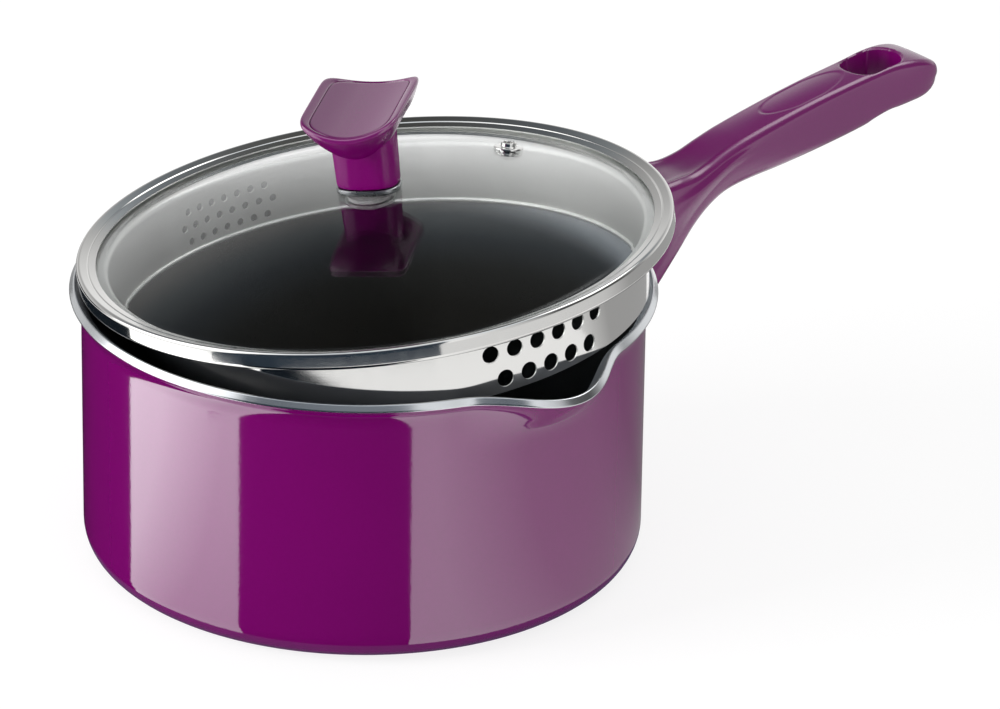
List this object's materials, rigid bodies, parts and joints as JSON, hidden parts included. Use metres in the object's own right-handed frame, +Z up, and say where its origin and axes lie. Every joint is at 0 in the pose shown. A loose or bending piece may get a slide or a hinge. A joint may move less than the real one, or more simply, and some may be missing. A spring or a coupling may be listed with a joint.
{
  "type": "lidded saucepan",
  "caption": "Round straight-sided saucepan with a pouring spout, a stick handle with a hanging hole, and a domed glass lid with a straining skirt, steam vent and knob.",
  "frame": {"origin": "centre of the base's flat underside, on the pan's axis", "axes": "+Z up along the pan's axis, +X out along the stick handle, so the pouring spout points along -Y"},
  "size_m": [0.3752, 0.2215, 0.173],
  "materials": {
    "enamel": "pressed aluminium with gloss purple enamel outside and dark nonstick inside",
    "phenolic": "satin purple",
    "aluminium": "bare",
    "steel": "polished",
    "glass": "clear",
    "brass": "turned",
    "silicone": "translucent"
  },
  "bodies": {
    "pan": {"pan_body": "enamel", "handle_stud": "aluminium", "handle": "phenolic", "handle_screw": "steel", "handle_lock_washer": "steel"},
    "lid": {"lid_glass": "glass", "lid_ring": "steel", "vent_eyelet": "steel", "knob": "phenolic", "knob_insert": "brass", "knob_collar": "aluminium", "knob_seal_washer": "silicone", "knob_washer": "steel", "knob_screw": "steel"}
  },
  "joints": [
    {"name": "lid_lift", "type": "slide", "parent": "pan", "child": "lid", "axis": [0, 0, 1], "range_m": [0, 0.12]}
  ]
}
